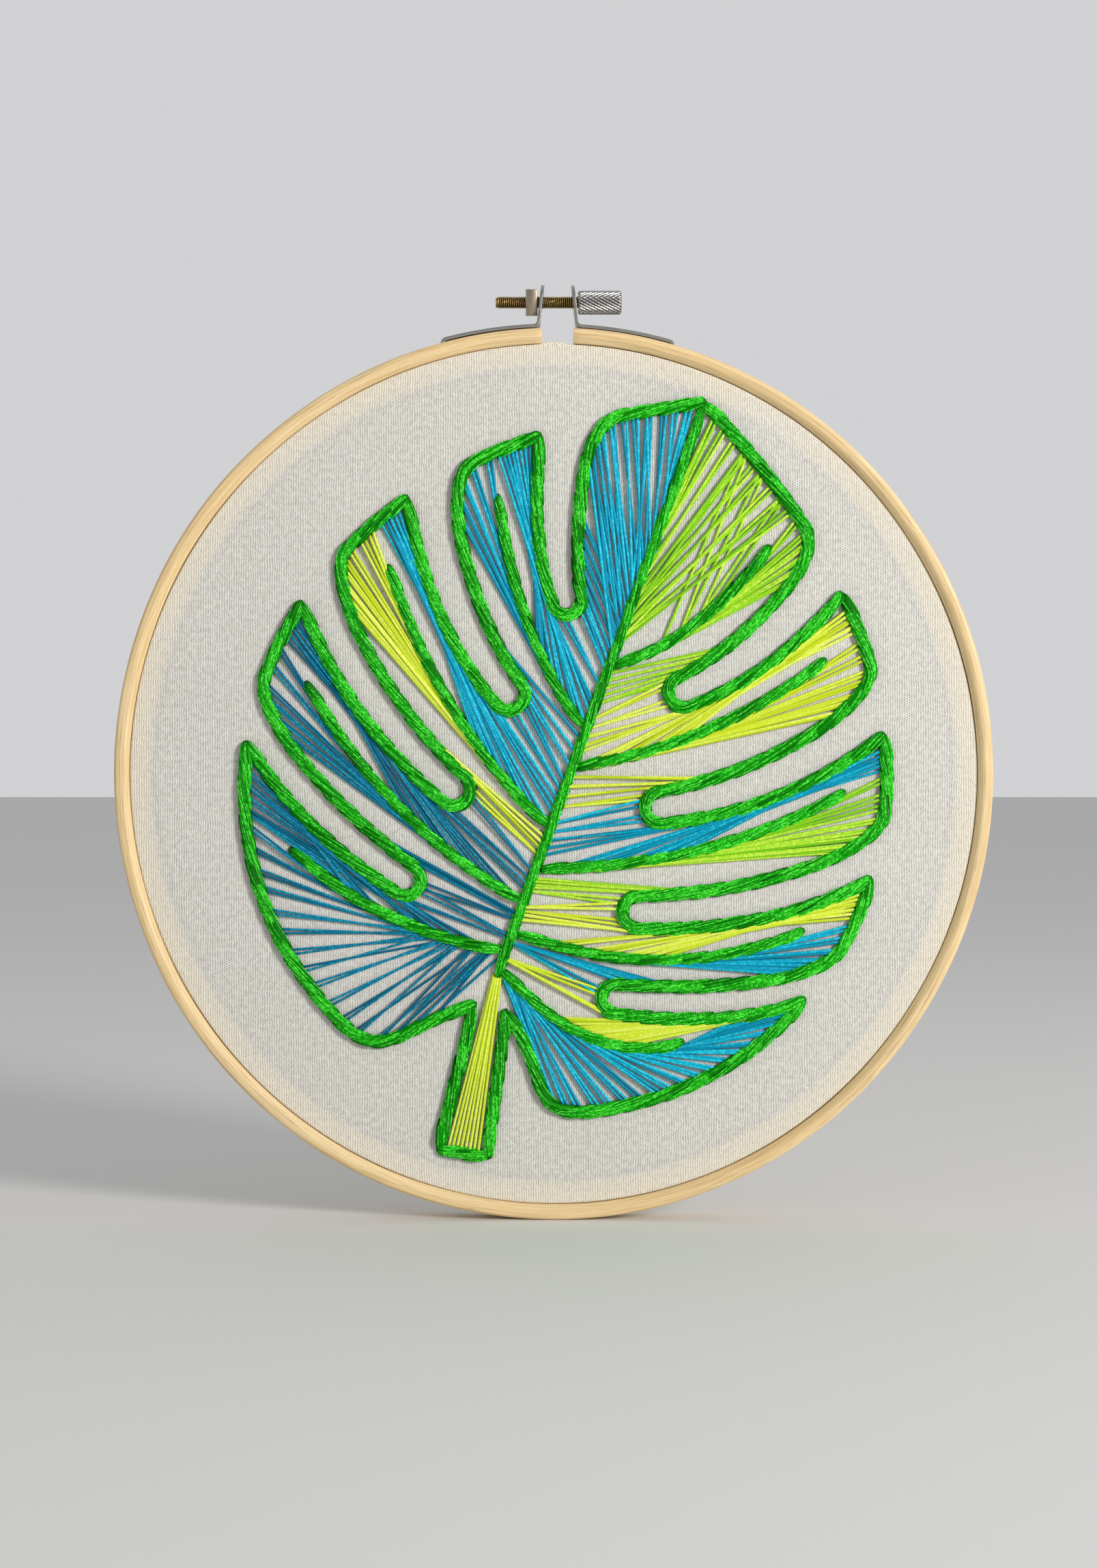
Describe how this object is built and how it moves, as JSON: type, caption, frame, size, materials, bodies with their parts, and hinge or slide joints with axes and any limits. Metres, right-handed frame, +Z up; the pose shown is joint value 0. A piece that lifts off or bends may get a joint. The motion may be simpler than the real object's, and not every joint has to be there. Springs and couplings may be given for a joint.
{
  "type": "string art in an embroidery hoop",
  "caption": "Swiss cheese leaf stitched and strung in threads on pale cloth that a round wooden embroidery hoop with a screw clamp stretches, ready to hang on a wall.",
  "frame": {"origin": "the place where a nail carries the hoop: the underside of the clamp screw, halfway between the two ears", "axes": "+Z up along the wall, -Y the way the stitched face looks, +Y into the wall, +X to the right seen from the front"},
  "size_m": [0.2116, 0.0133, 0.2254],
  "materials": {
    "bamboo": "thinly varnished pale bamboo",
    "cloth": "matte plain-woven cotton",
    "green_floss": "stranded floss with a soft sheen",
    "blue_thread": "mercerised thread",
    "lime_thread": "mercerised thread",
    "steel": "plated strap, a little dull",
    "brass": "yellow-passivated screw"
  },
  "bodies": {
    "root": {"bracket_left": "steel", "bracket_right": "steel", "clamp_screw": "brass", "cloth": "cloth", "inner_ring": "bamboo", "leaf_outline": "green_floss", "midrib": "green_floss", "nut": "steel", "outer_ring": "bamboo", "rib_left_1": "green_floss", "rib_left_2": "green_floss", "rib_left_3": "green_floss", "rib_left_4": "green_floss", "rib_right_1": "green_floss", "rib_right_2": "green_floss", "rib_right_3": "green_floss", "rib_right_4": "green_floss", "rib_right_5": "green_floss", "strings_left_0_whole": "blue_thread", "strings_left_1_stalk": "blue_thread", "strings_left_1_tip": "blue_thread", "strings_left_2_stalk": "lime_thread", "strings_left_2_tip": "blue_thread", "strings_left_3_stalk": "blue_thread", "strings_left_3_tip": "blue_thread", "strings_left_4_stalk": "blue_thread", "strings_left_4_tip": "blue_thread", "strings_right_1_stalk": "lime_thread", "strings_right_1_tip": "lime_thread", "strings_right_2_stalk": "lime_thread", "strings_right_2_tip": "lime_thread", "strings_right_3_stalk": "lime_thread", "strings_right_3_tip": "blue_thread", "strings_right_4_stalk": "blue_thread", "strings_right_4_tip": "lime_thread", "strings_right_5_stalk": "blue_thread", "strings_right_5_tip": "lime_thread", "strings_stalk": "lime_thread"}
  },
  "joints": []
}
